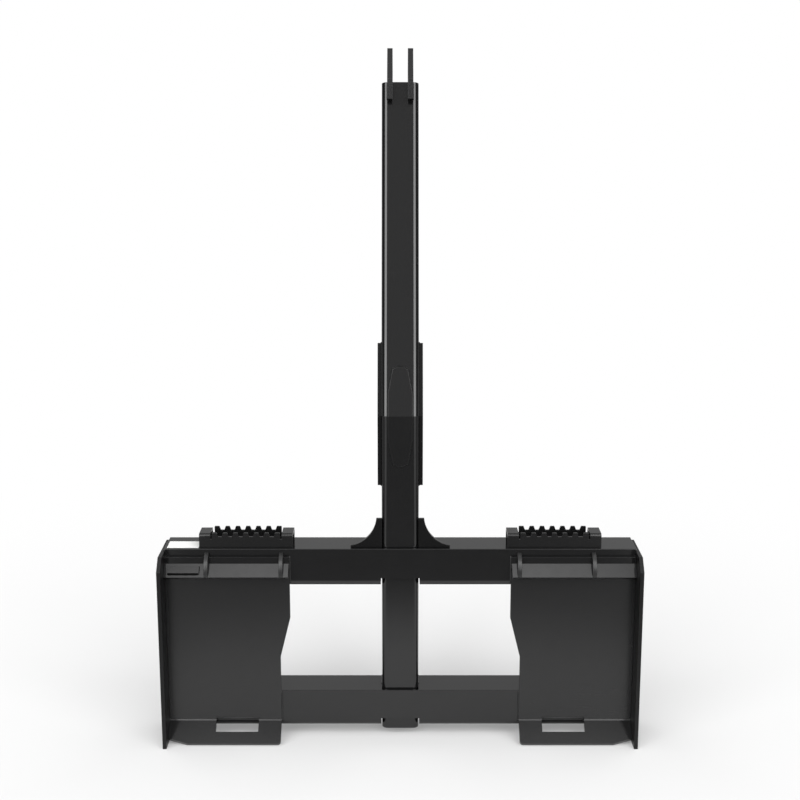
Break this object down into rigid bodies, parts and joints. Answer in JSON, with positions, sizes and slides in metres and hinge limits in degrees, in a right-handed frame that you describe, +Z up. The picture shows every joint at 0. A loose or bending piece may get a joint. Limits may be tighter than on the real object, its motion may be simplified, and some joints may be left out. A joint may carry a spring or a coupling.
{
  "type": "tree boom",
  "caption": "Square-tube mast with a forward-leaning boom on a skid-steer quick-attach frame, with toothed steps and a pin clevis at the tip.",
  "frame": {"origin": "on the rear face of the mount plates, where the loader's coupler seats, at mid-width and at the level of the end plates' bottom edges (the floor)", "axes": "+X across the frame to the right as the loader's driver sees it, +Y forward, away from the loader and the way the boom leans, +Z up"},
  "size_m": [1.153, 0.4248, 1.6618],
  "materials": {
    "black_paint": "satin powder coat",
    "label": "blank printed film"
  },
  "bodies": {
    "root": {"upper_cross_tube": "black_paint", "lower_cross_tube": "black_paint", "mast": "black_paint", "boom_arm": "black_paint", "boom_tip_cap": "black_paint", "mount_plate_left": "black_paint", "mount_plate_right": "black_paint", "hook_bar_left": "black_paint", "hook_bar_right": "black_paint", "end_plate_left": "black_paint", "end_plate_right": "black_paint", "hook_rib_left_outer": "black_paint", "hook_rib_left_inner": "black_paint", "hook_rib_right_outer": "black_paint", "hook_rib_right_inner": "black_paint", "step_left": "black_paint", "step_right": "black_paint", "mast_gusset_left": "black_paint", "mast_gusset_right": "black_paint", "bend_side_plate_left": "black_paint", "bend_side_plate_right": "black_paint", "bend_doubler": "black_paint", "tip_ear_left": "black_paint", "tip_ear_right": "black_paint", "serial_tag": "black_paint", "blank_label": "label"}
  },
  "joints": []
}
